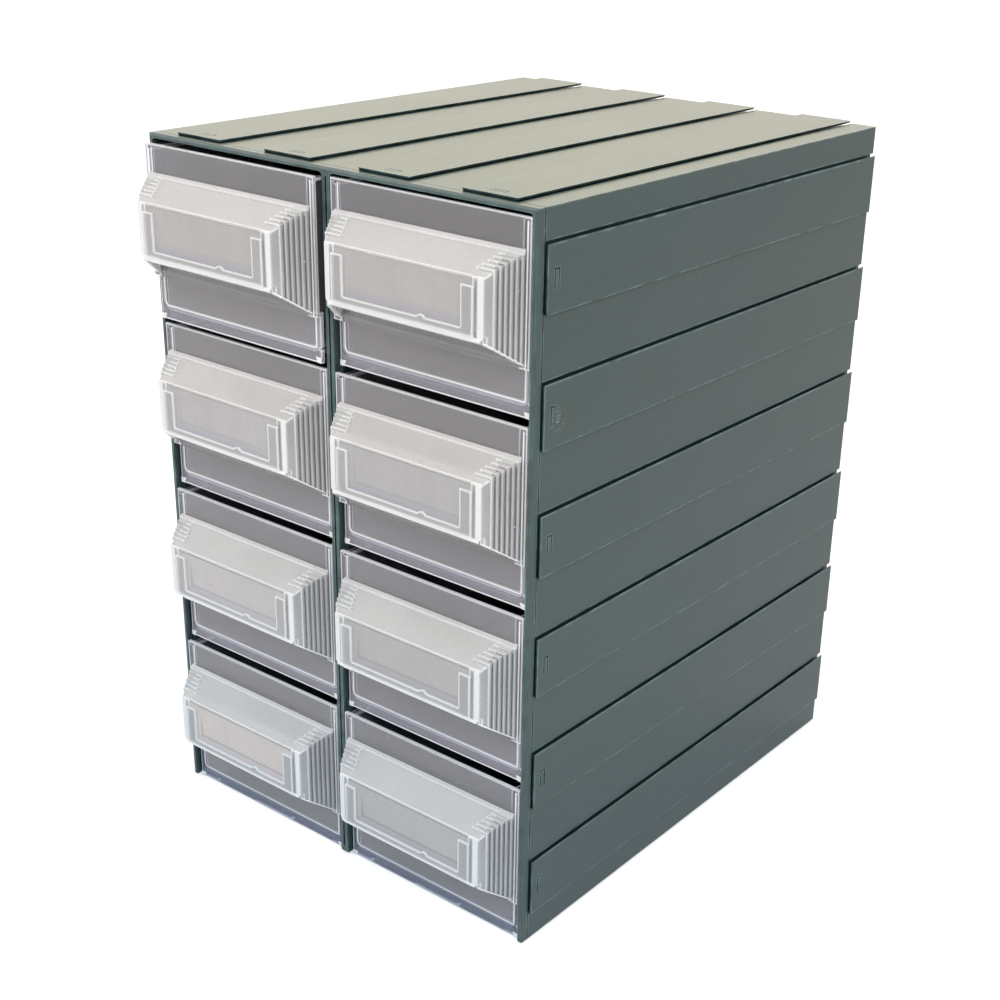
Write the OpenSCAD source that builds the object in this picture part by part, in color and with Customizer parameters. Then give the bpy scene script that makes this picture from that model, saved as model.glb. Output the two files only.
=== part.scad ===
// Small-parts cabinet: a moulded housing with hook strips on all four sides,
// two columns of four clear drawers, and a card in the label holder of each.
// Millimetres. X is across the front, Y runs from the front to the back, Z is up.
// The origin is under the middle of the whole cabinet, on the surface it stands on.

/* [Housing] */
// Width of one column of drawers, from the housing's side to its middle
column_w = 112; // [96:1:150]
// Height of one row of drawers
row_h = 84; // [80:1:120]
// Depth of the housing, front rim to back edge
housing_d = 268; // [180:1:400]
// Thickness of the housing's four walls
wall_t = 3; // [2.8:0.1:4]
// Width of the front rim's bars and of each half of the centre post
rim_w = 2.1; // [2:0.1:2.6]
// Depth of the front rim, front to back
rim_d = 4.4; // [3.5:0.1:8]
// Radius of the front opening's corners
rim_corner_r = 2; // [1:0.1:4]
// How far the rim's front edges are eased
rim_ease = 1; // [0.5:0.1:1.5]
// Width of the slit down the middle of the centre post
post_slit_w = 0.9; // [0.5:0.1:1.5]
// Depth of that slit
post_slit_d = 3; // [1:0.1:3.4]
// Distance from the slit's ends to the rim's upper and lower bars
post_slit_end = 1.5; // [0.5:0.1:4]

/* [Hook strips] */
// Distance from one hook strip to the next
hook_pitch = 56; // [40:1:70]
// Width of a hook strip
hook_w = 28; // [16:1:36]
// Thickness of a strip, which is also how far it stands out
hook_t = 1.2; // [0.8:0.1:1.6]
// Depth of the slot behind a strip
slot_d = 1.4; // [1.2:0.1:1.7]
// Width of the web that ties a strip to the wall
hook_web = 0.8; // [0.6:0.1:1.5]
// Clearance along the wall when the strips of two cabinets are slid together
hook_clear = 0.1; // [0.05:0.05:0.3]
// Distance from the rim to the front end of the strips
hook_setback = 0.8; // [0.5:0.1:3]
// How far a strip's open edge is undercut
hook_lead = 0.8; // [0.3:0.1:1]
// How far a strip's front end is undercut
end_lead = 0.5; // [0.3:0.1:1]
// Length of a strip's latch tongue, across the strip
latch_l = 8; // [5:0.5:12]
// Width of a latch tongue, front to back
latch_w = 3; // [2:0.1:5]
// Distance from a strip's front end to its latch tongue
latch_setback = 4.5; // [2:0.1:10]
// Width of the slit round a latch tongue, which goes through the strip
latch_slit = 0.5; // [0.3:0.1:0.8]

/* [Inside the housing] */
// Thickness of the centre divider
divider_t = 6; // [5:0.1:8]
// Height of a shelf's top over the bottom of its row
runner_z = 3.9; // [3.8:0.1:7]
// Thickness of a shelf
shelf_t = 2.2; // [1.6:0.1:2.4]
// How far the ledges that carry a shelf stand out
ledge_out = 1.4; // [0.8:0.1:1.6]
// Height of a ledge
ledge_h = 1.6; // [1:0.1:2]
// Gap round a shelf, the divider and the back panel
fit_gap = 0.2; // [0.1:0.05:0.4]
// Thickness of the back panel
back_t = 2.5; // [2:0.1:4]
// Distance from the back panel to the housing's back edge
back_inset = 2; // [1.5:0.1:6]

/* [Drawer] */
// Thickness of a drawer's front
front_t = 1.6; // [1.2:0.1:3]
// Gap beside the upper part of a drawer's front
front_side_gap = 0.7; // [0.3:0.1:1]
// Gap over the front of a top drawer
front_top_gap = 1.5; // [0.5:0.1:3]
// How far the lower part of the front, under the hood, is set back
step_in = 2.8; // [1.5:0.1:3.5]
// Gap beside the lower part, to the housing's walls and the divider
low_side_gap = 0.4; // [0.3:0.1:1]
// How far the lower part's foot hangs below the bottom of its row
front_drop = 0.6; // [0:0.1:0.7]
// Depth of the notch in the right-hand edge of the lower part
notch_in = 1.6; // [0.5:0.1:3]
// Width of the lugs at the lower part's corners
lug_w = 3.4; // [2:0.1:5]
// Height of those lugs
lug_h = 2.6; // [1.5:0.1:3.5]
// Wall of a drawer's box
box_wall = 1.5; // [1:0.1:2.5]
// Floor of a drawer's box
box_floor = 1.6; // [1:0.1:2.5]
// Outer radius along the lower edges of the box
box_corner_r = 3.5; // [2.5:0.5:8]
// Gap between the box and the housing's wall
box_gap = 2.6; // [2:0.1:5]
// Distance from the front's upper edge down to the box's rim
rim_drop = 1.2; // [0.5:0.1:4]
// Width of the rim that stands out round the top of the box
lip_w = 1.7; // [1:0.1:1.8]
// Thickness of that rim
lip_t = 1.2; // [0.8:0.1:2]
// Running clearance under the box
runner_gap = 0.3; // [0.2:0.1:0.6]
// Gap between the box's rear wall and the back panel, which the box's rim nearly fills
rear_gap = 2; // [2:0.1:8]
// How far the left column's top drawer stands open at rest
ajar = 4.5; // [0:0.1:8]

/* [Hood handle] */
// How far the hood's front plate stands out from the drawer's front
hood_out = 15.2; // [12:0.1:20]
// Thickness of the hood
hood_t = 1.6; // [1.2:0.1:2]
// Distance from the front's upper edge down to the hood's top
hood_below = 13.6; // [10:0.1:16]
// How far the hood's top falls towards its front plate
hood_fall = 9.2; // [6:0.1:12]
// Height of the hood's front plate
plate_h = 25.3; // [20:0.1:28]
// How far the ends of the hood reach lower at the drawer's front than at the plate
foot_fall = 11; // [4:0.1:13]
// Size of the cut at the plate's lower corners
plate_cut = 2; // [0.5:0.1:3]
// Distance from the front's side edge to the hood's end
hood_side = 2.6; // [2:0.1:6]
// How much the hood narrows on each side towards its plate
hood_splay = 8.3; // [6:0.1:12]
// Length, front to back, of the plain part of each end
plain_l = 3.4; // [2:0.1:5]
// How much the hood narrows over that plain part
plain_splay = 1.7; // [1:0.1:2.5]
// Number of steps down each end
step_n = 6; // [3:1:8]
// Width of the stepped band on the hood's top
band_w = 9; // [5:0.5:12]
// How far each step of that band stands over the slope
step_lift = 0.2; // [0.1:0.05:0.4]
// Height of the bead where the hood meets the drawer's front
bead_h = 1.2; // [0.6:0.1:1.5]
// Reach of that bead
bead_out = 1.9; // [1:0.1:3]

/* [Label holder] */
// Distance from the plate's end to the outside of the holder
holder_side = 4.3; // [2.5:0.1:6]
// How far the holder's lips stand out from the plate
lip_out = 1; // [0.8:0.1:1.5]
// Width of the holder's side lips
side_lip_w = 6.2; // [3:0.1:8]
// Height of the holder's lower lip
low_lip_h = 3.1; // [2:0.1:5]
// Distance from the plate's lower edge to the lower lip
low_lip_z = 1.8; // [0.5:0.1:3]
// Distance from the plate's upper edge down to the top of the side lips
side_lip_drop = 3.2; // [1:0.1:5]
// Width of the ridge that ties the lips to the plate
lip_foot = 1.1; // [0.8:0.1:2]
// Thickness of a label card
card_t = 0.5; // [0.3:0.1:0.6]
// Gap round a card
card_gap = 0.2; // [0.1:0.05:0.4]
// Radius of the round nub on the lower lip
nub_r = 2.6; // [1:0.1:4]
// How far the nub rises over the lower lip
nub_up = 1.2; // [0.5:0.1:1.4]
// Distance from the middle of the plate to the nub
nub_x = 11; // [0:0.5:20]

/* [Hidden] */
$fn = 48;
ROWS = 4;
SIDES = ["left", "right"];
drawer_names = [for (side = SIDES, row = [1:ROWS]) str("drawer_", side, "_", row)];
card_names = [for (side = SIDES, row = [1:ROWS]) str("label_card_", side, "_", row)];
shelf_names = [for (side = SIDES, row = [1:ROWS - 1]) str("shelf_", side, "_", row)];

housing_green = "#4d5f5e";
inner_green = "#3c4b4a";
clear_plastic = "#d9dcdecc";
card_grey = "#cfcdca";

// The housing
housing_w = len(SIDES) * column_w;
housing_h = ROWS * row_h;
front_reach = hood_out + lip_out + ajar;         // how far the open drawer's holder stands in front
front_y = (front_reach - housing_d) / 2;         // the rim's front face, with the origin mid-way
base_z = hook_t;                                 // the strips under the housing carry it
rim_back = rim_d + 0.4;                          // past the thin groove behind the rim
groove_in = 0.5;
floor_y = step_in + front_t + 0.3;               // the floor starts behind the drawers' fronts
inner_x = housing_w / 2 - wall_t;
inner_z = housing_h - wall_t;

// The hook strips
hook_mouth = hook_web + 2 * hook_clear;          // opening for another cabinet's web
hook_mate = hook_web + hook_clear;               // the left and lower strips are shifted by this
hook_y = rim_d + hook_setback;

// The shelves, the divider and the back panel
back_y = housing_d - back_inset - back_t;
stop_y = back_y - fit_gap;                       // where shelves, rails and divider end
shelf_y = floor_y + 0.3;                         // shelves reach up to the drawers' fronts
ledge_y = max(rim_back, floor_y) + fit_gap;
shelf_base = runner_z - shelf_t;
guide_w = 1.2;
rail_w = 4;
rail_x = 0.36 * column_w;
nub_l = 8;

// A drawer: the middle of its front face is x = 0, y = 0; z = 0 is the bottom of its row
front_half = column_w / 2 - rim_w - front_side_gap;
front_top = row_h - rim_w - front_top_gap;
box_half = column_w / 2 - wall_t - box_gap;
box_z = runner_z + runner_gap;
box_top = front_top - rim_drop;
box_end = back_y - rear_gap;
low_half = column_w / 2 - max(wall_t, divider_t / 2) - low_side_gap;
notch_low = box_z + 0.7;
notch_mid = box_z + 1.4;
notch_high = box_z + 2.6;
lug_out = 0.4;
overlap = 0.5;                                   // how far joined shapes run into each other

// The hood
top_z = front_top - hood_below;
plate_top = top_z - hood_fall;
plate_z = plate_top - plate_h;
step_z = plate_z - foot_fall - 1;                // the front steps back just under the hood's ends
hood_half = front_half - hood_side;
plate_half = hood_half - hood_splay;
slope = hood_fall / hood_out;
step_dy = (hood_out - plain_l) / step_n;
step_dx = (hood_splay - plain_splay) / step_n;
skin_drop = hood_t * sqrt(1 + slope * slope);    // the top's thickness, measured upright

// The label holder
holder_half = plate_half - holder_side;
window_half = holder_half - side_lip_w;
pocket_half = holder_half - lip_foot;
pocket_d = card_t + 0.1;
holder_z = plate_z + low_lip_z;
pocket_z = holder_z + lip_foot;
window_z = holder_z + low_lip_h;
card_half = pocket_half - card_gap;
card_top = plate_top - 0.8;

// An outline in X and Z, carried along Y
module along_y(from, length) {
    translate([0, from + length, 0]) rotate([90, 0, 0]) linear_extrude(length) children();
}

// An outline in Y and Z, carried along X over a width centred on x = 0
module across_x(width) {
    translate([-width / 2, 0, 0]) rotate([90, 0, 90]) linear_extrude(width) children();
}

module rounded_rect(w, h, r) {
    translate([r, 0]) square([w - 2 * r, h]);
    translate([0, r]) square([w, h - 2 * r]);
    for (x = [r, w - r], y = [r, h - r]) translate([x, y]) circle(r);
}

module both_sides() {
    children();
    mirror([1, 0, 0]) children();
}

module in_row(side, row) {
    x = (side == "left" ? -1 : 1) * column_w / 2;
    translate([x, front_y, base_z + (row - 1) * row_h]) children();
}

// ---- The hook strips: u runs along a face, v stands out of it ----

function hook_starts(face) = let(n = floor(face / hook_pitch))
    [for (i = [0:n - 1]) (face - n * hook_pitch) / 2 + (hook_pitch - hook_w) / 2 + i * hook_pitch];

module strip_outlines(face, shift) {
    for (u = hook_starts(face)) translate([u + shift, 0]) {
        polygon([[0, 0], [hook_w - hook_lead, 0], [hook_w, hook_t], [0, hook_t]]);
        translate([0, -slot_d]) square([hook_web, slot_d + overlap]);
    }
}

module slot_outlines(face, shift) {
    for (u = hook_starts(face)) translate([u + shift + hook_web, -slot_d])
        square([hook_w - hook_web + hook_mouth, slot_d + overlap]);
}

// A latch tongue: a slit round three sides of a small rectangle, closed towards the open edge
module latch_outlines(face, shift) {
    for (u = hook_starts(face)) translate([u + shift + (hook_w - latch_l) / 2, 0]) {
        square([latch_l, latch_slit]);
        translate([0, latch_w - latch_slit]) square([latch_l, latch_slit]);
        translate([latch_l - latch_slit, 0]) square([latch_slit, latch_w]);
    }
}

// The upper face's strips open towards +X, the lower face's towards -X
module on_top_and_bottom() {
    translate([-housing_w / 2, housing_h]) children(0);
    translate([housing_w / 2, 0]) rotate(180) children(1);
}

// The right face's strips open upwards, the left face's downwards
module on_right_and_left() {
    translate([housing_w / 2, 0]) mirror([1, -1]) children(0);
    translate([-housing_w / 2, housing_h]) rotate(180) mirror([1, -1]) children(1);
}

module all_strips() {
    on_top_and_bottom() {
        strip_outlines(housing_w, 0);
        strip_outlines(housing_w, -hook_mate);
    }
    on_right_and_left() {
        strip_outlines(housing_h, 0);
        strip_outlines(housing_h, -hook_mate);
    }
}

module all_slots() {
    on_top_and_bottom() {
        slot_outlines(housing_w, 0);
        slot_outlines(housing_w, -hook_mate);
    }
    on_right_and_left() {
        slot_outlines(housing_h, 0);
        slot_outlines(housing_h, -hook_mate);
    }
}

// The front ends of the strips lean back under their faces
module front_undercut() {
    hull() {
        wall_block(hook_y - 1, 1, -hook_t);
        wall_block(hook_y, end_lead, 0);
    }
}

// Latch slits, cut through the strips into the slots behind them
module latch_cuts(face, shift) {
    translate([0, 0, -slot_d / 2]) linear_extrude(slot_d / 2 + hook_t + overlap)
        translate([0, hook_y + latch_setback]) latch_outlines(face, shift);
}

module all_latches() {
    translate([-housing_w / 2, 0, housing_h]) latch_cuts(housing_w, 0);
    translate([housing_w / 2, 0, 0]) rotate([0, 180, 0]) latch_cuts(housing_w, -hook_mate);
    translate([housing_w / 2, 0, 0]) mirror([1, 0, -1]) latch_cuts(housing_h, 0);
    translate([-housing_w / 2, 0, housing_h]) rotate([0, 180, 0]) mirror([1, 0, -1])
        latch_cuts(housing_h, -hook_mate);
}

// ---- The housing ----

module wall_block(from, length, inset) {
    translate([-housing_w / 2 + inset, from, inset])
        cube([housing_w - 2 * inset, length, housing_h - 2 * inset]);
}

// The rim: its front edges are eased in two stages
module rim_block() {
    hull() {
        wall_block(0, 0.01, rim_ease);
        wall_block(rim_ease * 0.3, 0.01, rim_ease * 0.3);
        wall_block(rim_ease, rim_d - rim_ease, 0);
    }
}

module rim_openings() {
    opening_w = column_w - 2 * rim_w;
    for (x = [-housing_w / 2 + rim_w, rim_w]) {
        translate([x, 0, 0]) along_y(-1, rim_d + 2)
            translate([0, rim_w]) rounded_rect(opening_w, housing_h - 2 * rim_w, rim_corner_r);
        translate([x, -1, -1]) cube([opening_w, rim_d + 2, rim_w + rim_corner_r + 1]);
    }
}

// The floor's front edge lies behind the lowest drawers' fronts
module floor_cuts() {
    both_sides() translate([divider_t / 2, 0, -1]) cube([inner_x - divider_t / 2, floor_y, wall_t + 2]);
}

module shelf_ledges() {
    ledge_l = stop_y - ledge_y;
    for (row = [1:ROWS - 1]) translate([0, ledge_y, row * row_h]) {
        translate([0, 0, shelf_base - ledge_h]) cube([ledge_out + overlap, ledge_l, ledge_h]);
        translate([0, 0, runner_z + fit_gap]) cube([ledge_out + overlap, ledge_l, ledge_h / 2]);
    }
}

// Rails on the housing's floor carry the lowest drawers
module floor_rails() {
    for (x = [-1, 1] * column_w / 2, side = [-1, 1]) translate([x + side * rail_x, 0, 0])
        translate([-rail_w / 2, floor_y, wall_t - overlap])
            cube([rail_w, stop_y - floor_y, runner_z - wall_t + overlap]);
}

// Low guides beside the divider, on the floor and under the top
module divider_guides() {
    for (z = [wall_t - overlap, inner_z - guide_w]) both_sides()
        translate([divider_t / 2 + fit_gap, ledge_y, z])
            cube([guide_w, stop_y - ledge_y, guide_w + overlap]);
}

// Small nubs behind the back panel
module back_nubs() {
    y = back_y + back_t + fit_gap;
    for (x = [-0.3, 0.3] * housing_w, z = [wall_t - overlap, inner_z - guide_w])
        translate([x - nub_l / 2, y, z]) cube([nub_l, guide_w, guide_w + overlap]);
    both_sides() for (z = [0.25, 0.75] * housing_h)
        translate([inner_x - guide_w, y, z - nub_l / 2]) cube([guide_w + overlap, guide_w, nub_l]);
}

module housing() {
    color(housing_green) translate([0, front_y, base_z]) difference() {
        union() {
            difference() {
                union() {
                    difference() {
                        rim_block();
                        rim_openings();
                        translate([-post_slit_w / 2, -1, rim_w + post_slit_end])
                            cube([post_slit_w, post_slit_d + 1, housing_h - 2 * (rim_w + post_slit_end)]);
                    }
                    difference() {
                        union() {
                            wall_block(rim_d - overlap, rim_back - rim_d + overlap, groove_in);
                            wall_block(rim_back, housing_d - rim_back, 0);
                        }
                        translate([-inner_x, 0, wall_t])
                            cube([2 * inner_x, housing_d + 1, inner_z - wall_t]);
                        floor_cuts();
                    }
                }
                along_y(rim_d, housing_d - rim_d + 1) all_slots();
            }
            difference() {
                along_y(hook_y, housing_d - hook_y) all_strips();
                front_undercut();
            }
            both_sides() translate([-inner_x - overlap, 0, 0]) shelf_ledges();
            floor_rails();
            divider_guides();
            back_nubs();
        }
        all_latches();
    }
}

module centre_divider() {
    z = wall_t;
    color(inner_green) translate([0, front_y, base_z]) {
        translate([-divider_t / 2, rim_d, z])
            cube([divider_t, stop_y - rim_d, inner_z - wall_t - fit_gap]);
        both_sides() translate([divider_t / 2 - overlap, 0, 0]) shelf_ledges();
    }
}

module back_panel() {
    color(inner_green) translate([-inner_x + fit_gap, front_y + back_y, base_z + wall_t])
        cube([2 * (inner_x - fit_gap), back_t, inner_z - wall_t - fit_gap]);
}

// The shelf of a row lies under that row's drawer; the lowest row has the floor's rails
module shelf(side, row) {
    shelf_w = inner_x - divider_t / 2 - 2 * fit_gap;
    x = side == "left" ? -inner_x + fit_gap : divider_t / 2 + fit_gap;
    color(inner_green) translate([x, front_y + shelf_y, base_z + row * row_h + shelf_base])
        cube([shelf_w, stop_y - shelf_y, shelf_t]);
}

// ---- A drawer ----

// The front from the side: its upper part, a ledge, and the lower part that is set back
module front() {
    back = step_in + front_t;
    difference() {
        union() {
            across_x(2 * low_half) polygon([
                [0, step_z], [0, front_top], [front_t, front_top], [front_t, step_z + front_t],
                [back, step_z + front_t], [back, -front_drop], [step_in, -front_drop], [step_in, step_z]
            ]);
            translate([-front_half, 0, step_z]) cube([2 * front_half, front_t, front_top - step_z]);
        }
        along_y(step_in - 1, front_t + 2) polygon([
            [low_half + 1, notch_low], [low_half - notch_in, notch_mid], [low_half + 1, notch_high]
        ]);
    }
    both_sides() along_y(step_in - lug_out, lug_out + overlap) polygon([
        [low_half, -front_drop], [low_half, lug_h - front_drop],
        [low_half - lug_w, lug_h - front_drop], [low_half - 0.7 * lug_w, -front_drop]
    ]);
}

module box_outline(half, bottom, top, r) {
    translate([-half, bottom + r]) square([2 * half, top - bottom - r]);
    translate([-half + r, bottom]) square([2 * (half - r), r]);
    for (x = [-half + r, half - r]) translate([x, bottom + r]) circle(r);
}

module drawer_box() {
    difference() {
        union() {
            along_y(front_t - overlap, box_end - front_t + overlap)
                box_outline(box_half, box_z, box_top, box_corner_r);
            translate([-box_half - lip_w, front_t - overlap, box_top - lip_t])
                cube([2 * (box_half + lip_w), box_end + lip_w - front_t + overlap, lip_t]);
        }
        along_y(front_t, box_end - front_t - box_wall)
            box_outline(box_half - box_wall, box_z + box_floor, box_top + 1, box_corner_r - box_wall);
        translate([-box_half - 1, 0, 0]) cube([2 * box_half + 2, step_in + overlap, step_z + overlap]);
    }
}

// Right-hand edge of the hood in plan, front to back, as [x, y] points
function hood_edge() = concat(
    [[plate_half, -hood_out], [plate_half + plain_splay, -hood_out + plain_l]],
    [for (i = [0:step_n - 1], end = [0, 1])
        [plate_half + plain_splay + (i + 1) * step_dx, -hood_out + plain_l + (i + end) * step_dy]]
);

// The hood in plan, moved in by the wall t; it runs past the drawer's front face
module hood_plan(t) {
    edge = [for (p = hood_edge()) [p[0] - t, p[1] + t]];
    last = edge[len(edge) - 1];
    right = concat(edge, [[last[0], overlap + t]]);
    left = [for (i = [len(right) - 1:-1:0]) [-right[i][0], right[i][1]]];
    polygon(concat(right, left));
}

module hood_outside() {
    intersection() {
        linear_extrude(row_h) hood_plan(0);
        across_x(column_w) polygon([
            [overlap, plate_z - foot_fall], [-hood_out, plate_z],
            [-hood_out, plate_top], [overlap, top_z + overlap * slope]
        ]);
    }
}

module hood_inside() {
    intersection() {
        linear_extrude(row_h) hood_plan(hood_t);
        across_x(column_w) polygon([
            [0, 0], [-hood_out + hood_t, 0],
            [-hood_out + hood_t, plate_top + hood_t * slope - skin_drop], [0, top_z - skin_drop]
        ]);
    }
}

// Stairs on both ends of the sloping top, in line with the steps of the end walls
module hood_stairs() {
    for (i = [0:step_n - 1]) {
        y = -hood_out + plain_l + i * step_dy;
        x = plate_half + plain_splay + (i + 1) * step_dx;
        tread_z = plate_top + slope * (plain_l + (i + 1) * step_dy) + step_lift;
        length = i == step_n - 1 ? step_dy + overlap : step_dy;
        both_sides() translate([x - band_w, y, tread_z - 2 * slope * step_dy])
            cube([band_w, length, 2 * slope * step_dy]);
    }
}

// The plate's lower corners are cut off, as deep as the plate is thick
module plate_cuts() {
    both_sides() along_y(-hood_out - 1, 1 + hood_t) polygon([
        [plate_half - plate_cut, plate_z - 1], [plate_half - plate_cut, plate_z],
        [plate_half + plain_splay, plate_z + plate_cut + plain_splay],
        [plate_half + hood_splay, plate_z + plate_cut + plain_splay], [plate_half + hood_splay, plate_z - 1]
    ]);
}

module hood_bead() {
    z = top_z - bead_out * slope;
    across_x(2 * hood_half) polygon([
        [overlap, z - overlap], [-bead_out, z - overlap], [-bead_out, z + bead_h],
        [0, top_z + bead_h], [overlap, top_z + bead_h]
    ]);
}

// The holder's lips: a U that is open at the top, tied to the plate by a narrower ridge
module holder_outline(inner_half, inner_z) {
    difference() {
        translate([-holder_half, holder_z])
            square([2 * holder_half, plate_top - side_lip_drop - holder_z]);
        translate([-inner_half, inner_z]) square([2 * inner_half, plate_top]);
    }
}

module label_holder() {
    along_y(-hood_out - lip_out, lip_out) {
        holder_outline(window_half, window_z);
        intersection() {
            translate([nub_x, window_z + nub_up - nub_r]) circle(nub_r);
            translate([0, holder_z]) square([column_w, plate_h]);
        }
    }
    along_y(-hood_out - overlap, 2 * overlap) holder_outline(pocket_half, pocket_z);
}

module card_pocket() {
    translate([-pocket_half, -hood_out - 1, pocket_z])
        cube([2 * pocket_half, 1 + pocket_d, plate_h]);
}

module hood() {
    difference() {
        union() {
            hood_outside();
            hood_stairs();
            hood_bead();
        }
        hood_inside();
        card_pocket();
        plate_cuts();
    }
    label_holder();
}

module drawer(side, row) {
    out = side == "left" && row == ROWS ? ajar : 0;
    color(clear_plastic) in_row(side, row) translate([0, -out, 0]) {
        front();
        drawer_box();
        hood();
    }
}

module label_card(side, row) {
    out = side == "left" && row == ROWS ? ajar : 0;
    color(card_grey) in_row(side, row)
        translate([-card_half, -out - hood_out, pocket_z])
            cube([2 * card_half, card_t, card_top - pocket_z]);
}

housing();
centre_divider();
back_panel();
for (side = SIDES, row = [1:ROWS - 1])
    shelf(side, row);
for (side = SIDES, row = [1:ROWS])
    drawer(side, row);
for (side = SIDES, row = [1:ROWS])
    label_card(side, row);
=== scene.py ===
# %% [markdown]
# # A small-parts cabinet with clear drawers
# The cabinet is one grey-green moulding with hook strips on its outside, and it
# holds two columns of four clear drawers. The packed solids already have the
# right shapes, so this lesson dresses them: rounded edges, moulded plastic, clear
# plastic with bright edges, and cards in the label holders.

# %% Load the frame and its sizes
import math
from types import SimpleNamespace

import bpy
import numpy as np
from mathutils import Euler, Matrix, Vector


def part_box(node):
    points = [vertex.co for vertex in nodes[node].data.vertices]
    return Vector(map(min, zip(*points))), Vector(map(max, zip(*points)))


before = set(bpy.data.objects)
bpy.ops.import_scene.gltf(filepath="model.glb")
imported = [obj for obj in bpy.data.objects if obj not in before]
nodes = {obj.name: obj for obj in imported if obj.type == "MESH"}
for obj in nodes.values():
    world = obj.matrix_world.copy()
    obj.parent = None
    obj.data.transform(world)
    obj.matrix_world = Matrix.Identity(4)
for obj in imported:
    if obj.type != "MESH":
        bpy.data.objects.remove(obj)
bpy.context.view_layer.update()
MM = 0.001
STRIP_PROUD = 1.2 * MM
housing_low, housing_high = (np.array(corner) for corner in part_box("housing"))
body_foot = housing_low[2] + STRIP_PROUD
print("housing, mm:", np.round((housing_high - housing_low) / MM, 1))

# %% [markdown]
# The camera stands to the front right, a little above the cabinet's top. Its place is
# measured from the middle of the front rim's foot, level with the underside of the
# body. It is turned by three angles, as the fields of an object's rotation show them,
# and a small shift of the lens moves the cabinet within the frame.

# %% The camera
CAMERA_FROM_RIM = np.array([481.1, -469.3, 464.7]) * MM
CAMERA_TURN = (66.3214, -1.6540, 37.8686)
SENSOR_WIDTH, FOCAL_LENGTH = 36.0, 57.887
SHIFT_RIGHT, SHIFT_UP = -0.0572, 0.0371
NEAREST, FARTHEST = 0.05, 30.0


def make_camera():
    """A camera at its place from the rim's foot, turned by its three angles in degrees."""
    data = bpy.data.cameras.new("camera")
    data.sensor_width, data.lens = SENSOR_WIDTH, FOCAL_LENGTH
    data.shift_x, data.shift_y = SHIFT_RIGHT, SHIFT_UP
    data.clip_start, data.clip_end = NEAREST, FARTHEST
    camera = bpy.data.objects.new("camera", data)
    bpy.context.scene.collection.objects.link(camera)
    rim_foot = np.array([0.0, housing_low[1], body_foot])
    turn = Euler([math.radians(angle) for angle in CAMERA_TURN])
    camera.matrix_world = Matrix.Translation(rim_foot + CAMERA_FROM_RIM) @ turn.to_matrix().to_4x4()
    bpy.context.scene.camera = camera
    return camera


camera = make_camera()
print("camera stands at", [round(v, 3) for v in camera.location])

# %% [markdown]
# Each finish in this lesson is a net of shader nodes. A net is hard to read when every
# node is made, set and linked in lines of its own, so a small class gives the usual
# steps short names: a sum, a ramp, a blend, a tint, noise, a bump. Masks are numbers
# from 0 to 1, so two masks multiply to "both" and their larger one is "either". A
# constant is set straight on the socket that it feeds.

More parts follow.
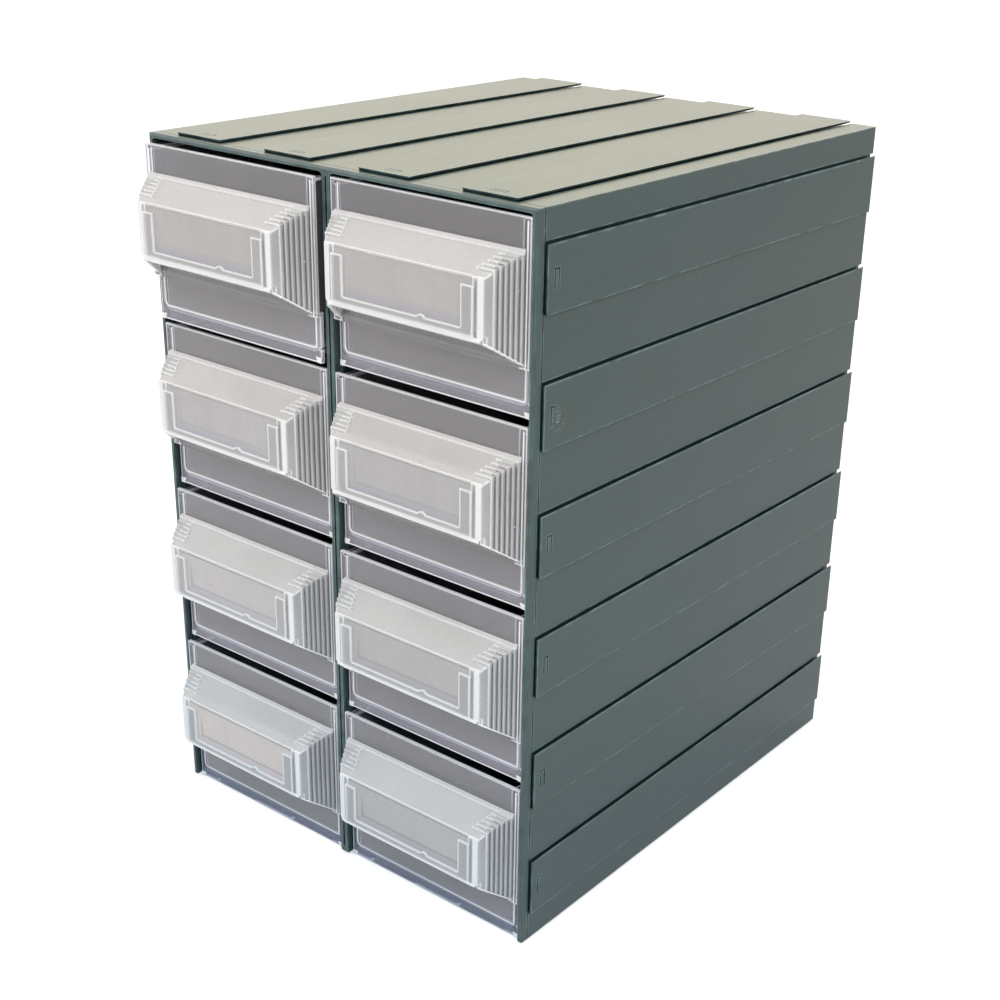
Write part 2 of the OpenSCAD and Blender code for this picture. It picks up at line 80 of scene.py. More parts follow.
# %% Short names for shader nodes
class Net:
    """The shader nodes of one material or of the world."""

    def __init__(self, owner):
        owner.use_nodes = True
        self.tree = owner.node_tree
        self.tree.nodes.clear()

    def add(self, kind, inputs=None, **values):
        """Adds a node, sets its plain values, and links or sets its inputs."""
        node = self.tree.nodes.new(kind)
        for name, value in values.items():
            setattr(node, name, value)
        for name, value in (inputs or {}).items():
            if isinstance(value, bpy.types.NodeSocket):
                self.tree.links.new(value, node.inputs[name])
            else:
                node.inputs[name].default_value = value
        return node

    def coordinates(self, kind):
        """The cabinet's own coordinates ("Object") or the way a face looks ("Normal")."""
        return self.add("ShaderNodeTexCoord").outputs[kind]

    def parts(self, vector):
        """The three numbers of a vector."""
        return tuple(self.add("ShaderNodeSeparateXYZ", {0: vector}).outputs)

    def calc(self, operation, a, b=0.0):
        """One operation, such as ADD or LESS_THAN, on one or two numbers."""
        return self.add("ShaderNodeMath", {0: a, 1: b}, operation=operation).outputs[0]

    def both(self, a, b):
        """1 where both masks are 1."""
        return self.calc("MULTIPLY", a, b)

    def either(self, a, b):
        """1 where at least one of two masks is 1."""
        return self.calc("MAXIMUM", a, b)

    def outside(self, mask):
        """1 where the mask is 0."""
        return self.calc("SUBTRACT", 1.0, mask)

    def apart(self, value, middle):
        """How far a value is from a middle one, on either side."""
        return self.calc("ABSOLUTE", self.calc("SUBTRACT", value, middle))

    def within(self, value, middle, half):
        """1 where a value is less than half away from the middle one."""
        return self.calc("LESS_THAN", self.apart(value, middle), half)

    def ramp(self, value, start, end, low=0.0, high=1.0):
        """low up to start, high from end on, and a straight slope between them."""
        inputs = {"Value": value, "From Min": start, "From Max": end, "To Min": low, "To Max": high}
        return self.add("ShaderNodeMapRange", inputs).outputs[0]

    def blend(self, mask, number, other):
        """The one number where the mask is 0, and the other where it is 1."""
        return self.add("ShaderNodeMix", {"Factor": mask, 2: number, 3: other}).outputs[0]

    def mixed(self, mask, colour, other):
        """The one colour where the mask is 0, and the other where it is 1."""
        inputs = {"Factor": mask, 6: colour, 7: other}
        return self.add("ShaderNodeMix", inputs, data_type="RGBA").outputs[2]

    def tinted(self, colour, tint):
        """A colour times another."""
        inputs = {"Factor": 1.0, 6: colour, 7: tint}
        return self.add("ShaderNodeMix", inputs, data_type="RGBA", blend_type="MULTIPLY").outputs[2]

    def stretched(self, where, scale, turn=(0.0, 0.0, 0.0)):
        """Turned and scaled coordinates, on which round noise becomes streaks."""
        inputs = {"Vector": where, "Rotation": turn, "Scale": scale}
        return self.add("ShaderNodeMapping", inputs).outputs[0]

    def noise(self, where, scale, detail):
        """Cloudy noise, most of it close to a half."""
        inputs = {"Vector": where, "Scale": scale, "Detail": detail}
        return self.add("ShaderNodeTexNoise", inputs).outputs["Fac"]

    def bump(self, height, strength, distance, under=None):
        """A bumped surface direction, laid over another bump if one is given."""
        inputs = {"Height": height, "Strength": strength, "Distance": distance}
        if under is not None:
            inputs["Normal"] = under
        return self.add("ShaderNodeBump", inputs).outputs[0]

    def plastic(self, **inputs):
        """Ends the net with a Principled shader; _ stands for a space in an input's name."""
        inputs = {name.replace("_", " "): value for name, value in inputs.items()}
        shader = self.add("ShaderNodeBsdfPrincipled", inputs)
        self.add("ShaderNodeOutputMaterial", {"Surface": shader.outputs[0]})


WHITE = (1.0, 1.0, 1.0, 1.0)


def rgba(colour, by=1.0):
    """A colour with its three numbers scaled, as a socket takes it."""
    return (*[c * by for c in colour], 1.0)


def new_material(name):
    """An empty material and the net that will hold its nodes."""
    material = bpy.data.materials.new(name)
    return material, Net(material)


print("steps of a net:", [step for step in vars(Net) if not step.startswith("_")])

# %% [markdown]
# The floor is a plain white sheet and the world is an even pale light. Rays from the
# camera, and rays through clear plastic, see them as white, and mirrored rays see them
# a little darker. The sheet adds some light of its own for those rays alone, so it stays
# white where it is lit, and the cabinet's shadow still shows on it.

# %% World and floor
def seen_by_eye(net, mirrored):
    """1 for rays from the camera or through clear plastic, and a set share for mirrored rays."""
    rays = net.add("ShaderNodeLightPath").outputs
    straight = net.either(rays["Is Camera Ray"], rays["Is Transmission Ray"])
    return net.either(straight, net.calc("MULTIPLY", rays["Is Glossy Ray"], mirrored))


def make_world(level, mirrored):
    """White for the rays that see it, and a softer white as diffuse light."""
    world = bpy.data.worlds.new("studio")
    net = Net(world)
    soft = net.add("ShaderNodeBackground", {"Color": WHITE, "Strength": level})
    white = net.add("ShaderNodeBackground", {"Color": WHITE, "Strength": 1.0})
    inputs = {0: seen_by_eye(net, mirrored), 1: soft.outputs[0], 2: white.outputs[0]}
    mix = net.add("ShaderNodeMixShader", inputs)
    net.add("ShaderNodeOutputWorld", {"Surface": mix.outputs[0]})
    bpy.context.scene.world = world


def make_floor(size, albedo, lift, mirrored):
    """A square white sheet under the cabinet; lift is the light it adds for the eye."""
    mesh = bpy.data.meshes.new("floor")
    h = size / 2
    mesh.from_pydata([(-h, -h, 0), (h, -h, 0), (h, h, 0), (-h, h, 0)], [], [(0, 1, 2, 3)])
    floor = bpy.data.objects.new("floor", mesh)
    bpy.context.scene.collection.objects.link(floor)
    material, net = new_material("floor_white")
    sheet = net.add("ShaderNodeBsdfDiffuse", {"Color": rgba((albedo, albedo, albedo))})
    amount = net.calc("MULTIPLY", seen_by_eye(net, mirrored), lift)
    glow = net.add("ShaderNodeEmission", {"Color": WHITE, "Strength": amount})
    lit = net.add("ShaderNodeAddShader", {0: sheet.outputs[0], 1: glow.outputs[0]})
    net.add("ShaderNodeOutputMaterial", {"Surface": lit.outputs[0]})
    mesh.materials.append(material)


make_world(level=0.55, mirrored=0.8)
make_floor(size=16.0, albedo=0.9, lift=0.5, mirrored=0.3)
bpy.context.scene.view_settings.view_transform = "Standard"
print("world:", bpy.context.scene.world.name)

# %% [markdown]
# Three soft lamps light the cabinet: a strong one from the front right, a weaker one
# from the front left, and a wide warm one from behind on the left, like a window, which
# tints the top. All are square and large, so the shadows have soft edges.

# %% Lamps
CABINET_MIDDLE, CABINET_TOP = (0, 0, 0.15), (0, 0, 0.33)
PLAIN_LIGHT, WARM_LIGHT = (1.0, 1.0, 1.0), (1.0, 0.88, 0.56)


def area_lamp(name, place, target, size, power, colour=PLAIN_LIGHT):
    """A square soft lamp that looks at a point; size in metres, power in watts."""
    data = bpy.data.lights.new(name, "AREA")
    data.shape = "SQUARE"
    data.size = size
    data.energy = power
    data.color = colour
    lamp = bpy.data.objects.new(name, data)
    lamp.location = place
    lamp.rotation_euler = (Vector(target) - Vector(place)).to_track_quat("-Z", "Y").to_euler()
    bpy.context.scene.collection.objects.link(lamp)


area_lamp("key_light", (1.6, -1.6, 2.4), CABINET_MIDDLE, size=1.6, power=36)
area_lamp("fill_light", (-1.8, -1.8, 1.2), CABINET_MIDDLE, size=1.4, power=14)
area_lamp("warm_window", (-1.66, 2.19, 1.88), CABINET_TOP, size=2.4, power=22, colour=WARM_LIGHT)

# %% [markdown]
# Use shows first at the edges of a moulding, and light and shade gather there as well.
# Outer edges are made pale, partly as wear from rubbing and partly as a painted
# highlight, and inner corners are darkened as painted shade. Short rays find both,
# with no mask drawn by hand. Sent into the plastic, they soon come out again beside an
# outer edge. Sent outwards, they hit the next face in an inner corner. Specks and a
# scuff are masks of their own.

# %% Wear, edge highlights and corner shade on plastic
# The share of the rays that get away: over an open face, and close to an edge
FREE_SHARE, CLOSED_SHARE, RAYS = 0.88, 0.70, 4
# A fleck fades out between these shares of its size, and a scuffed patch from this on
FLECK_EDGE, FLECK_CORE, PATCH_CORE = 1.4, 0.7, 0.4
SCRATCH_TURN, SCRATCH_STRETCH = math.radians(-32), (300.0, 260.0, 1500.0)
SCRATCH_FROM, SCRATCH_FULL = 0.55, 0.66


def near_edges(net, reach, inside):
    """1 beside outer edges (inside=True) or in inner corners (inside=False), to a given reach."""
    rays = net.add("ShaderNodeAmbientOcclusion", {"Distance": reach}, inside=inside,
                   only_local=True, samples=RAYS)
    return net.ramp(rays.outputs["AO"], FREE_SHARE, CLOSED_SHARE)


def flecks(net, where, spacing, size):
    """1 on small round specks of a radius, one in each cell of a jumbled 3-D lattice."""
    cells = net.add("ShaderNodeTexVoronoi", {"Vector": where, "Scale": 1 / spacing})
    return net.ramp(cells.outputs["Distance"], FLECK_EDGE * size / spacing, FLECK_CORE * size / spacing)


def scuff(net, where, centre, radius):
    """1 on short pale scratches inside a small patch round a point."""
    away = net.add("ShaderNodeVectorMath", {0: where, 1: centre}, operation="DISTANCE")
    patch = net.ramp(away.outputs["Value"], radius, PATCH_CORE * radius)
    drawn = net.stretched(where, SCRATCH_STRETCH, turn=(SCRATCH_TURN, 0, 0))
    scratches = net.ramp(net.noise(drawn, scale=1.0, detail=3.0), SCRATCH_FROM, SCRATCH_FULL)
    return net.both(patch, scratches)


print("scratches lean by, degrees:", round(math.degrees(SCRATCH_TURN)))

# %% [markdown]
# The housing is moulded polystyrene: dull green-grey with a fine satin texture and
# faint draw lines from front to back, slightly uneven in colour and bluer towards the
# foot, and darkened towards the back as painted shade. Noise makes the clouds, and
# noise drawn out along the depth makes the lines. Its edges are paler than its faces,
# partly as wear from rubbing and partly as a painted highlight.

# %% Housing plastic
GREEN, SHADED_INNER_GREEN = (0.044, 0.080, 0.078), (0.026, 0.046, 0.047)
# The base colour times these: in the clouds, on pale edges (wear and painted highlight) and in corners
# of painted shade
UNEVEN_DARK, UNEVEN_PALE = 0.8, 1.2
RUBBED_AND_HIGHLIGHT, CORNER_SHADE = 3.4, 0.12
# Where the tone starts to turn, back along the depth and down the height, and where it ends
REAR_FROM, REAR_FULL, REAR_SHADE_TINT = -110 * MM, 130 * MM, (0.84, 0.84, 0.84, 1.0)
FOOT_FROM, FOOT_FULL, FOOT_TINT = 260 * MM, 20 * MM, (0.93, 1.0, 1.16, 1.0)
# How much shows of the pale edges, of the painted corner shade, and of the specks and scuff
RUBBED_HIGHLIGHT_FROM, RUBBED_HIGHLIGHT_FULL = 0.35, 0.7
CORNER_SHADE_AMOUNT, WORN_AMOUNT = 0.85, 0.55
WORN_COLOUR = (0.62, 0.56, 0.52, 1.0)
SHINE_SPREAD = 0.05
SCUFF_AT = (housing_high[0], housing_low[1] + 14.5 * MM, housing_low[2] + 250.5 * MM)


def housing_plastic(name, base, shine):
    """Satin plastic: cloudy tone, fine grain, draw lines from front to back, and wear."""
    material, net = new_material(name)
    where = net.coordinates("Object")
    depth, height = net.parts(where)[1:]
    cloud = net.noise(where, scale=14.0, detail=4.0)
    streak = net.noise(net.stretched(where, (420.0, 6.0, 420.0)), scale=1.0, detail=3.0)
    uneven = net.calc("MULTIPLY", net.calc("ADD", cloud, streak), 0.5)
    tone = net.mixed(uneven, rgba(base, UNEVEN_DARK), rgba(base, UNEVEN_PALE))
    # Painted shade: the tone darkens towards the back
    tone = net.mixed(net.ramp(depth, REAR_FROM, REAR_FULL), tone, net.tinted(tone, REAR_SHADE_TINT))
    tone = net.mixed(net.ramp(height, FOOT_FROM, FOOT_FULL), tone, net.tinted(tone, FOOT_TINT))

    patches = net.ramp(net.noise(where, scale=130.0, detail=4.0), RUBBED_HIGHLIGHT_FROM, RUBBED_HIGHLIGHT_FULL)
    # Outer edges are paled in patches, partly wear from rubbing and partly a painted highlight
    rubbed_and_highlight = net.both(near_edges(net, reach=0.9 * MM, inside=True), patches)
    tone = net.mixed(rubbed_and_highlight, tone, rgba(base, RUBBED_AND_HIGHLIGHT))
    # Painted shade: inner corners are darkened towards a near-black green
    corner_shade = net.calc("MULTIPLY", near_edges(net, reach=1.5 * MM, inside=False), CORNER_SHADE_AMOUNT)
    tone = net.mixed(corner_shade, tone, rgba(base, CORNER_SHADE))
    specks = flecks(net, where, spacing=10 * MM, size=0.22 * MM)
    worn = net.either(specks, scuff(net, where, SCUFF_AT, radius=6 * MM))
    tone = net.mixed(net.calc("MULTIPLY", worn, WORN_AMOUNT), tone, WORN_COLOUR)

    grain = net.bump(net.noise(where, scale=1100.0, detail=2.0), strength=0.1, distance=0.4 * MM)
    lines = net.bump(streak, strength=0.08, distance=0.6 * MM, under=grain)
    rough = net.ramp(uneven, 0.0, 1.0, shine - SHINE_SPREAD, shine + SHINE_SPREAD)
    net.plastic(Base_Color=tone, Roughness=rough, Normal=lines, IOR=1.55)
    return material


green = housing_plastic("housing_green", GREEN, shine=0.3)
# Painted shade: the parts inside the housing take its plastic in a darker green
inner_green = housing_plastic("inner_green", SHADED_INNER_GREEN, shine=0.4)
print("housing finishes:", green.name, inner_green.name)

# %% [markdown]
# The drawers are clear polystyrene, a little cloudy from use. What makes such plastic
# look white is haze: a share of the light is scattered at the surface instead of
# passing through. The share differs from place to place, so the material has to know
# where on its drawer a point lies. Painting eight drawers would take eight pictures.
# Here the place comes from Object coordinates, which are the cabinet's own, and both
# columns and all four rows are folded onto one drawer.

# %% Where on a drawer a point lies
first, beside, above = (np.array(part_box(name)[0]) / MM
                        for name in ("drawer_left_1", "drawer_right_1", "drawer_left_2"))
COLUMN_W, ROW_H = round(beside[0] - first[0], 1), round(above[2] - first[2], 1)
ROWS_BASE = body_foot / MM
# From here on lengths are in mm: across from a drawer's middle, back from its front, up from
# its foot. The front has two planes, and the part below the step is set back.
STEP_IN, STEP_Z = 2.8, 20.3
FOLD_DROP, LOWEST_FOOT = 1.0, 30.0
ON_FACE, HOOD_FROM = 0.3, -0.25
# From these shares of a face's direction on, it counts as looking up or sideways
UPWARDS, SIDEWAYS = 0.6, 0.55


def folded(net, across, height):
    """Metres of the cabinet as mm on one drawer: across, up, and up from the lowest foot.

    The rows are folded a little below each foot, so that the foot's rim stays with its drawer.
    """
    across = net.calc("ADD", net.calc("MULTIPLY", across, 1 / MM), COLUMN_W)
    across = net.calc("SUBTRACT", net.calc("MODULO", across, COLUMN_W), COLUMN_W / 2)
    total = net.calc("SUBTRACT", net.calc("MULTIPLY", height, 1 / MM), ROWS_BASE - FOLD_DROP)
    up = net.calc("SUBTRACT", net.calc("MODULO", total, ROW_H), FOLD_DROP)
    return across, up, total


def drawer_spot(net, front_at):
    """The place of a point on a drawer whose front stands at front_at, in mm and as masks."""
    where = net.coordinates("Object")
    wide, deep, high = net.parts(where)
    side, z, height = folded(net, wide, high)
    y = net.calc("SUBTRACT", net.calc("MULTIPLY", deep, 1 / MM), front_at)
    low_part = net.calc("LESS_THAN", z, STEP_Z)
    front_plane = net.blend(low_part, 0.0, STEP_IN)
    looks = net.parts(net.coordinates("Normal"))
    return SimpleNamespace(
        where=where, side=side, x=net.calc("ABSOLUTE", side), y=y, z=z, height=height,
        right=net.calc("GREATER_THAN", side, 0.0),
        low_part=low_part,
        lowest=net.calc("LESS_THAN", height, LOWEST_FOOT),
        on_panel=net.calc("LESS_THAN", net.apart(y, front_plane), ON_FACE),
        on_hood=net.calc("LESS_THAN", y, HOOD_FROM),
        looks_up=net.calc("GREATER_THAN", looks[2], UPWARDS),
        looks_sideways=net.calc("GREATER_THAN", net.calc("ABSOLUTE", looks[0]), SIDEWAYS))


print("columns and rows repeat after, mm:", COLUMN_W, ROW_H)

# %% [markdown]
# The front panel is the clearest part of a drawer. It gets hazier towards its foot.
# The box's walls meet it along a U, and the light that runs inside those walls comes
# out there as a pale line. Outside the U is a margin that nothing stands behind. The
# distance to the U is worked out from the place, so each part follows from it.

# %% Haze of the front panel
# The U: its legs above and below the step, how far it moves to the right above it, its foot
# and top, and the radii of its lower corners
HIGH_LINE, LOW_LINE, HIGH_SHIFT = 50.2, 49.6, 1.2
LINE_Z, LINE_TOP = 5.9, 79.0
LEFT_BEND, RIGHT_BEND = 2.6, 1.0
# What lies on the U and beside it, by the distance from it
LINE_CORE, LINE_EDGE = 0.28, 0.5
MARGIN_FROM, MARGIN_FULL = 0.3, 0.6
WALL_END, SEAM_AT, SEAM_HALF = 1.5, 1.65, 0.22
# Heights between which the haze changes: over the lowest foot, and over a drawer's own
TOP_ROW_AT, OTHER_ROWS_AT = 290.0, 240.0
FOOT_HAZE_FROM, FOOT_HAZE_FULL = 70.0, 15.0
# Haze, from 0 for glass to 1 for milk
TOP_ROW_HAZE, OTHER_ROWS_HAZE, FOOT_HAZE = 0.13, 0.205, 0.24
HIGH_MARGIN_HAZE, LOW_MARGIN_HAZE = 0.14, 0.24
WALL_END_HAZE, LOWEST_END_HAZE = 0.5, 0.24
SEAM_HAZE, LINE_HAZE = 0.06, 0.95


def line_distance(net, spot):
    """Distance in mm from the U on which the walls meet the front, negative inside it.

    It is the distance from a rectangle that is smaller by the corners' radius, less that
    radius. Above the step the U is a little wider and lies a little to the right.
    """
    bend = net.blend(spot.right, LEFT_BEND, RIGHT_BEND)
    reach = net.apart(spot.side, net.blend(spot.low_part, HIGH_SHIFT, 0.0))
    straight = net.calc("SUBTRACT", net.blend(spot.low_part, HIGH_LINE, LOW_LINE), bend)
    dx = net.calc("SUBTRACT", reach, straight)
    dz = net.calc("SUBTRACT", net.calc("ADD", LINE_Z, bend), spot.z)
    squares = [net.calc("POWER", net.calc("MAXIMUM", d, 0.0), 2.0) for d in (dx, dz)]
    outer = net.calc("SQRT", net.calc("ADD", *squares))
    inner = net.calc("MINIMUM", net.calc("MAXIMUM", dx, dz), 0.0)
    return net.calc("SUBTRACT", net.calc("ADD", outer, inner), bend)


def front_haze(net, spot):
    """The panel's haze, with the masks of its margin and of the line of the walls."""
    away = line_distance(net, spot)
    line = net.outside(net.ramp(net.calc("ABSOLUTE", away), LINE_CORE, LINE_EDGE))
    line = net.both(line, net.calc("LESS_THAN", spot.z, LINE_TOP))
    margin = net.ramp(away, MARGIN_FROM, MARGIN_FULL)
    wall_end = net.both(net.both(margin, net.calc("LESS_THAN", away, WALL_END)), spot.low_part)
    seam = net.both(net.within(away, SEAM_AT, SEAM_HALF), spot.low_part)

    rows = net.ramp(spot.height, TOP_ROW_AT, OTHER_ROWS_AT)
    haze = net.blend(rows, TOP_ROW_HAZE, OTHER_ROWS_HAZE)
    haze = net.blend(net.ramp(spot.z, FOOT_HAZE_FROM, FOOT_HAZE_FULL), haze, FOOT_HAZE)
    haze = net.blend(margin, haze, net.blend(spot.low_part, HIGH_MARGIN_HAZE, LOW_MARGIN_HAZE))
    # Painted shade: on the lowest row the wall ends get less haze, so they look darker
    haze = net.blend(wall_end, haze, net.blend(spot.lowest, WALL_END_HAZE, LOWEST_END_HAZE))
    haze = net.blend(seam, haze, SEAM_HAZE)
    return net.blend(line, haze, LINE_HAZE), margin, line


print("walls meet the front at, mm:", HIGH_LINE, "above the step,", LOW_LINE, "below it")

# %% [markdown]
# The hood is moulded with a fine matt grain, which scatters more light than the smooth
# front does. Its upright plate is cloudy and its sloping top is milky. Light
# gathers at the ends of the plate, along the plate's upper edge and in the bead where
# the hood grows out of the front.

# %% Haze of the hood
# The plate's front, how deep it counts, its ends, and the groove before each end
PLATE_Y, PLATE_DEPTH = -15.2, 1.2
PLATE_END, PLATE_END_FULL = 39.2, 39.8
GROOVE_AT, GROOVE_HALF = 38.7, 0.5
# The plate's upper edge, in from its front and over a height, and the bead, back and up
UPPER_EDGE_IN, UPPER_EDGE_HALF, UPPER_EDGE_OVER = 0.6, 0.35, 50.0
BEAD_Y, BEAD_DEEP = -0.95, 1.0
BEAD_Z, BEAD_HIGH = 67.4, 1.6
# Haze, as on the front
PLATE_HAZE, GROOVE_HAZE, PLATE_END_HAZE = 0.46, 0.2, 0.85
LEFT_SIDE_HAZE, RIGHT_SIDE_HAZE, SLOPE_HAZE = 0.6, 0.34, 0.66
UPPER_EDGE_HAZE, BEAD_HAZE = 1.0, 0.8


def hood_haze(net, spot):
    """The hood's haze, with the masks of its plate, the plate's ends and its upper edge."""
    plate = net.calc("LESS_THAN", spot.y, PLATE_Y + PLATE_DEPTH)
    plate_end = net.both(net.ramp(spot.x, PLATE_END, PLATE_END_FULL), plate)
    groove = net.both(net.within(spot.x, GROOVE_AT, GROOVE_HALF), plate)
    edge = net.both(net.within(spot.y, PLATE_Y + UPPER_EDGE_IN, UPPER_EDGE_HALF),
                    net.calc("GREATER_THAN", spot.z, UPPER_EDGE_OVER))
    upper_edge = net.both(spot.looks_up, edge)
    bead = net.both(net.within(spot.y, BEAD_Y, BEAD_DEEP), net.within(spot.z, BEAD_Z, BEAD_HIGH))

    haze = net.blend(plate_end, net.blend(groove, PLATE_HAZE, GROOVE_HAZE), PLATE_END_HAZE)
    # Painted light: the hood's left ends are given more haze, and so look paler, than its right ends
    side_haze = net.blend(spot.right, LEFT_SIDE_HAZE, RIGHT_SIDE_HAZE)
    haze = net.blend(spot.looks_sideways, haze, side_haze)
    haze = net.blend(spot.looks_up, haze, SLOPE_HAZE)
    haze = net.blend(bead, net.blend(upper_edge, haze, UPPER_EDGE_HAZE), BEAD_HAZE)
    return haze, plate, plate_end, upper_edge


print("the hood stands out by, mm:", -PLATE_Y)

# %% [markdown]
# Light that is trapped in clear plastic leaves at its edges, so every edge is drawn as
# a pale line. Real edges differ: the hood's stepped ends have softer lines, the step
# under the hood is rounded so much that it has none, and the feet of the plate, of the
# hood's ends and of the panel glow along their whole length.

# %% Bright edges
LINE_REACH, LINE_LIGHT, RIB_LIGHT = 1.0 * MM, 0.96, 0.4
# The stepped ends lie further out and further back than these, the soft step further in
RIB_X, RIB_Y = 43.6, -11.7
SOFT_MIDDLE, SOFT_HALF = STEP_Z + 0.6, 2.6
SOFT_X, SOFT_Y = 48.0, -0.3
# The feet that glow: up to where, and how far the hood's ends fall from plate to panel
PLATE_LOW, PLATE_FOOT, END_FOOT = 32.3, 1.7, 0.9
FOOT_FALL, PANEL_FOOT = 11.0, -0.05
# The lugs at the lower corners, and the upper rim of the front
LUG_Y, LUG_HALF = STEP_IN - 0.4, 0.1
TOP_Y, TOP_HALF, TOP_Z = 0.8, 1.0, 80.0


def stepped_ends(net, spot):
    """1 on the stepped ends of the hood, beside its plate."""
    beside = net.both(net.calc("GREATER_THAN", spot.x, RIB_X), net.calc("GREATER_THAN", spot.y, RIB_Y))
    return net.both(beside, spot.on_hood)


def bright_edges(net, spot, ribs, plate):
    """1 where trapped light leaves the drawer."""
    line = net.both(near_edges(net, LINE_REACH, inside=True), net.blend(ribs, 1.0, RIB_LIGHT))
    soft = net.both(net.within(spot.z, SOFT_MIDDLE, SOFT_HALF), net.calc("LESS_THAN", spot.x, SOFT_X))
    soft = net.both(soft, net.calc("GREATER_THAN", spot.y, SOFT_Y))
    line = net.both(net.both(line, net.outside(soft)), LINE_LIGHT)

    # The foot of the hood's ends falls from the plate back to the panel
    end_foot = net.calc("MULTIPLY", spot.y, FOOT_FALL / -PLATE_Y)
    end_foot = net.calc("SUBTRACT", PLATE_LOW + END_FOOT - FOOT_FALL, end_foot)
    hood_foot = net.both(plate, net.calc("LESS_THAN", spot.z, PLATE_LOW + PLATE_FOOT))
    hood_foot = net.either(hood_foot, net.calc("LESS_THAN", spot.z, end_foot))
    hood_foot = net.both(hood_foot, spot.on_hood)
    panel_foot = net.both(spot.on_panel, net.calc("LESS_THAN", spot.z, PANEL_FOOT))

    lug = net.both(net.within(spot.y, LUG_Y, LUG_HALF), spot.low_part)
    top = net.both(net.within(spot.y, TOP_Y, TOP_HALF), net.calc("GREATER_THAN", spot.z, TOP_Z))
    top = net.both(spot.looks_up, top)
    bright = net.either(net.either(lug, top), flecks(net, spot.where, spacing=17 * MM, size=0.3 * MM))
    return net.either(net.either(bright, panel_foot), net.either(line, hood_foot))


print("the hood's ends fall by, mm:", FOOT_FALL)

# %% [markdown]
# The parts come together here. A drawer's haze is the panel's or the hood's, made a
# little uneven by two noises, and set to nearly full along the bright edges. The
# Principled shader takes one less haze as its transmission, so the rest of the light is
# scattered in the base colour: violet-grey on the panel, where the dark inside shows
# through, and warmer on the hood. The lower drawers are a cooler grey than the upper.

# %% Clear plastic
BOX_HAZE, BRIGHT_HAZE = 0.08, 0.97
CLOUD_SPREAD, GRAIN_SPREAD = 0.1, 0.07
# Inner corners of the stepped ends, darkened as painted shade: how far they reach, up to where, and
# their haze
CORNER_REACH, CORNER_TOP, CORNER_HAZE = 0.9 * MM, 64.0, 0.35
PANEL_TINT, MARGIN_TINT = (0.86, 0.83, 0.87, 1.0), (0.84, 0.80, 0.92, 1.0)
LOWEST_SHADE_TINT, LINE_TINT = (0.52, 0.57, 0.72, 1.0), (0.97, 0.97, 0.98, 1.0)
HOOD_TINT, SLOPE_TINT = (0.93, 0.92, 0.92, 1.0), (0.90, 0.87, 0.84, 1.0)
CORNER_SHADE_TINT, COOL_TINT = (0.2, 0.2, 0.22, 1.0), (0.87, 0.94, 1.0, 1.0)
COOL_FROM, COOL_FULL = 220.0, 10.0
SMOOTH, MATT = 0.06, 0.14


def drawer_plastic(name, front_at):
    """Clear plastic for the drawers whose fronts stand at front_at, in mm."""
    material, net = new_material(name)
    spot = drawer_spot(net, front_at)
    panel_haze, margin, wall_line = front_haze(net, spot)
    grip_haze, plate, plate_end, upper_edge = hood_haze(net, spot)
    haze = net.blend(spot.on_hood, net.blend(spot.on_panel, BOX_HAZE, panel_haze), grip_haze)
    for scale, detail, spread in ((30.0, 4.0, CLOUD_SPREAD), (650.0, 2.0, GRAIN_SPREAD)):
        noise = net.noise(spot.where, scale, detail)
        haze = net.calc("MULTIPLY", haze, net.ramp(noise, 0.0, 1.0, 1 - spread, 1 + spread))

    # Painted shade: the inner corners of the stepped right-hand ends are darkened
    ribs = stepped_ends(net, spot)
    corner = net.both(ribs, net.calc("LESS_THAN", spot.z, CORNER_TOP))
    corner = net.both(near_edges(net, CORNER_REACH, inside=False), corner)
    corner = net.both(net.both(corner, spot.right), net.outside(spot.looks_up))
    haze = net.blend(corner, haze, CORNER_HAZE)
    bright = bright_edges(net, spot, ribs, plate)
    haze = net.calc("MINIMUM", net.blend(bright, haze, BRIGHT_HAZE), BRIGHT_HAZE)

    front = net.mixed(margin, PANEL_TINT, MARGIN_TINT)
    # Painted shade: the lowest row's margin is tinted a darker blue
    front = net.mixed(net.both(spot.lowest, margin), front, LOWEST_SHADE_TINT)
    front = net.mixed(net.either(wall_line, bright), front, LINE_TINT)
    hood = net.mixed(spot.looks_up, HOOD_TINT, SLOPE_TINT)
    # Painted shade in the inner corners of the stepped ends
    hood = net.mixed(corner, hood, CORNER_SHADE_TINT)
    hood = net.mixed(net.either(bright, net.either(upper_edge, plate_end)), hood, WHITE)
    cool = net.mixed(net.ramp(spot.height, COOL_FROM, COOL_FULL), WHITE, COOL_TINT)
    colour = net.tinted(net.mixed(spot.on_hood, front, hood), cool)

    ripple = net.bump(net.noise(spot.where, scale=55.0, detail=1.0), strength=0.04, distance=1.0 * MM)
    rough = net.blend(spot.on_hood, SMOOTH, MATT)
    net.plastic(Base_Color=colour, Roughness=rough, IOR=1.5, Normal=ripple,
                Transmission_Weight=net.outside(haze))
    return material


HOLDER_OUT = 16.2


def front_place(name):
    """Where a drawer's front stands, in mm: its holder's lip reaches out by HOLDER_OUT."""
    return round(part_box(name)[0][1] / MM + HOLDER_OUT, 1)


clear_plastics = {}
for name in sorted(nodes):
    if name.startswith("drawer") and front_place(name) not in clear_plastics:
        material = drawer_plastic(f"clear_plastic_{len(clear_plastics) + 1}", front_place(name))
        clear_plastics[front_place(name)] = material
print("fronts stand at y, mm:", sorted(clear_plastics))

# %% [markdown]
# The cards in the label holders are thin grey-white stock, blank and faintly streaked.
# Paper fibres are fine noise, and noise drawn out upwards makes the streaks. The
# holder's lips shade the card along its foot and beside its left end, in a soft line
# that turns the corner. The left column's lower cards are paler than the others.

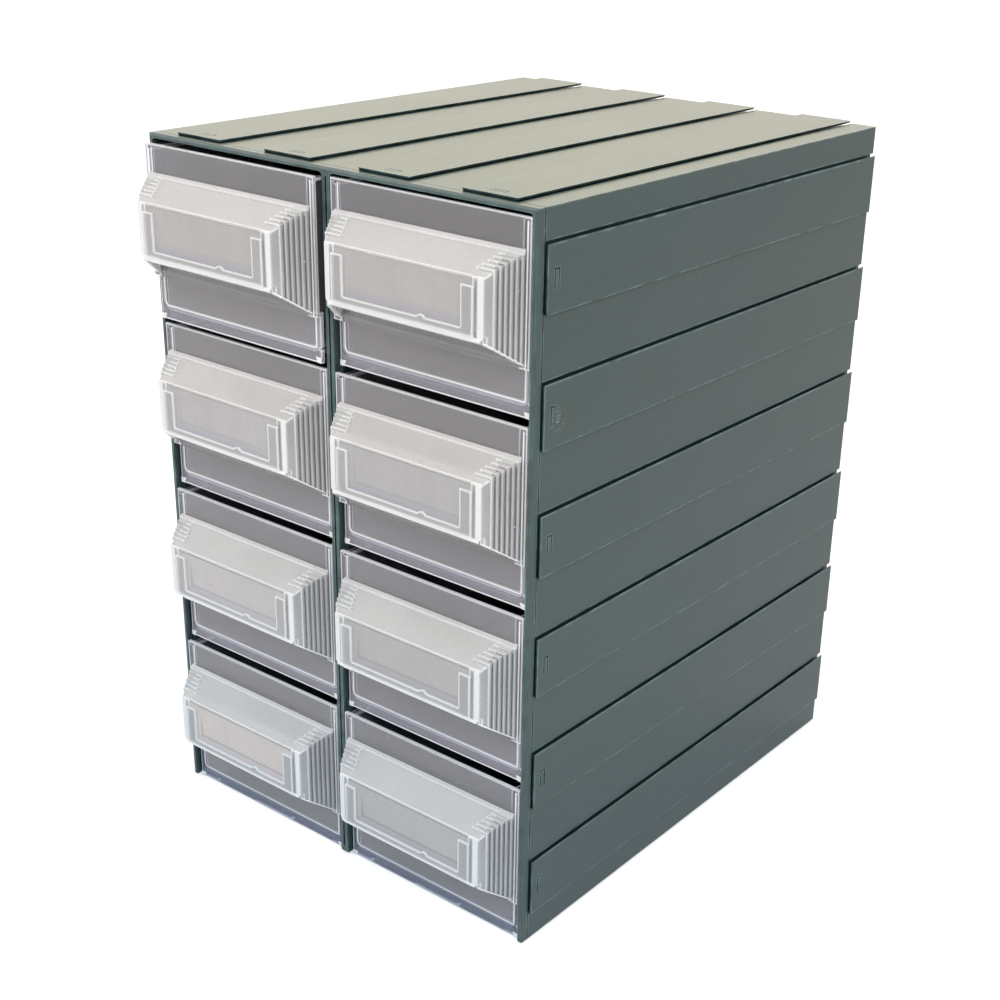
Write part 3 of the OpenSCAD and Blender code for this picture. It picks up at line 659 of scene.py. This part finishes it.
# %% Card
CARD, CARD_FOOT = (0.60, 0.58, 0.573), (0.54, 0.52, 0.567)
FIBRE_DARK, FIBRE_PALE, SHADE_DARK = 0.86, 1.14, 0.55
FOOT_BAND, FOOT_BAND_FULL = 41.5, 38.5
# The shaded line: its two legs, where the upright one fades out, and how soft both are
SHADE_X, SHADE_Z, SHADE_ROOM = -28.0, 41.0, 1.0
SHADE_END, SHADE_END_FULL = 54.0, 45.0
UPRIGHT_EDGE, UPRIGHT_CORE = 1.3, 0.2
LEVEL_EDGE, LEVEL_CORE = 1.0, 0.3
# Between these heights of the cabinet, the shade gets stronger and the paper cooler
CARDS_TOP, CARDS_FOOT = 270 * MM, 50 * MM
TOP_SHADE, FOOT_SHADE = 0.1, 0.5
UPPER_PAPER, LOWER_PAPER = (0.80, 0.80, 0.80, 1.0), (0.76, 0.80, 0.84, 1.0)
PALE_PAPER = (0.98, 0.98, 1.0, 1.0)


def lip_shade(net, x, z):
    """1 on a soft line shaped like an L: up beside the card's left end, and along its foot."""
    upright = net.ramp(net.apart(x, SHADE_X), UPRIGHT_EDGE, UPRIGHT_CORE)
    upright = net.both(upright, net.ramp(z, SHADE_END, SHADE_END_FULL))
    level = net.ramp(net.apart(z, SHADE_Z), LEVEL_EDGE, LEVEL_CORE)
    inner = net.both(net.calc("GREATER_THAN", x, SHADE_X - SHADE_ROOM),
                     net.calc("GREATER_THAN", z, SHADE_Z - SHADE_ROOM))
    return net.both(net.either(upright, level), inner)


def card_stock(name):
    """Paper fibres as fine noise, upright streaks, and a cool band along the foot."""
    material, net = new_material(name)
    where = net.coordinates("Object")
    wide, _, high = net.parts(where)
    x, z, _ = folded(net, wide, high)
    fibre = net.noise(where, scale=400.0, detail=3.0)
    streak = net.noise(net.stretched(where, (90.0, 90.0, 9.0)), scale=1.0, detail=2.0)
    uneven = net.calc("MULTIPLY", net.calc("ADD", fibre, streak), 0.5)
    tone = net.mixed(uneven, rgba(CARD, FIBRE_DARK), rgba(CARD, FIBRE_PALE))
    tone = net.mixed(net.ramp(z, FOOT_BAND, FOOT_BAND_FULL), tone, rgba(CARD_FOOT))

    low = net.ramp(high, CARDS_TOP, CARDS_FOOT)
    shade = net.both(lip_shade(net, x, z), net.ramp(low, 0.0, 1.0, TOP_SHADE, FOOT_SHADE))
    tone = net.mixed(shade, tone, rgba(CARD_FOOT, SHADE_DARK))
    left = net.calc("LESS_THAN", wide, 0.0)
    paper = net.mixed(low, UPPER_PAPER, LOWER_PAPER)
    paper = net.mixed(net.both(left, low), paper, PALE_PAPER)
    net.plastic(Base_Color=net.tinted(tone, paper), Roughness=0.6)
    return material


card = card_stock("label_card")
print("card finish:", card.name)

# %% [markdown]
# Real mouldings have no knife edges. A bevel along every sharp edge rounds them. It
# needs clean faces, and a packed solid is loose triangles, so these are welded first
# and the flat faces joined again. The inner sheets and the cards are thin and mostly
# hidden, so they keep their edges.

# %% Round the edges
DRAWER_ROUND, HOUSING_ROUND, ROUND_STEPS = 0.45 * MM, 0.25 * MM, 2
WELD_REACH = 0.02 * MM
FLAT_WITHIN, SHARP_OVER = math.radians(0.5), math.radians(28)


def round_edges(piece, width):
    """Welds a piece's triangles, joins its flat faces, and bevels what is left of its edges."""
    weld = piece.modifiers.new("weld", "WELD")
    weld.merge_threshold = WELD_REACH
    flat = piece.modifiers.new("flat_faces", "DECIMATE")
    flat.decimate_type = "DISSOLVE"
    flat.angle_limit = FLAT_WITHIN
    bevel = piece.modifiers.new("rounded_edges", "BEVEL")
    bevel.width = width
    bevel.segments = ROUND_STEPS
    bevel.limit_method = "ANGLE"
    bevel.angle_limit = SHARP_OVER
    bevel.use_clamp_overlap = True


for name, piece in nodes.items():
    piece.data.materials.clear()
    if name.startswith("drawer"):
        piece.data.materials.append(clear_plastics[front_place(name)])
        round_edges(piece, DRAWER_ROUND)
    elif name.startswith("label"):
        piece.data.materials.append(card)
    elif name == "housing":
        piece.data.materials.append(green)
        round_edges(piece, HOUSING_ROUND)
    else:
        piece.data.materials.append(inner_green)
print("dressed pieces:", len(nodes))
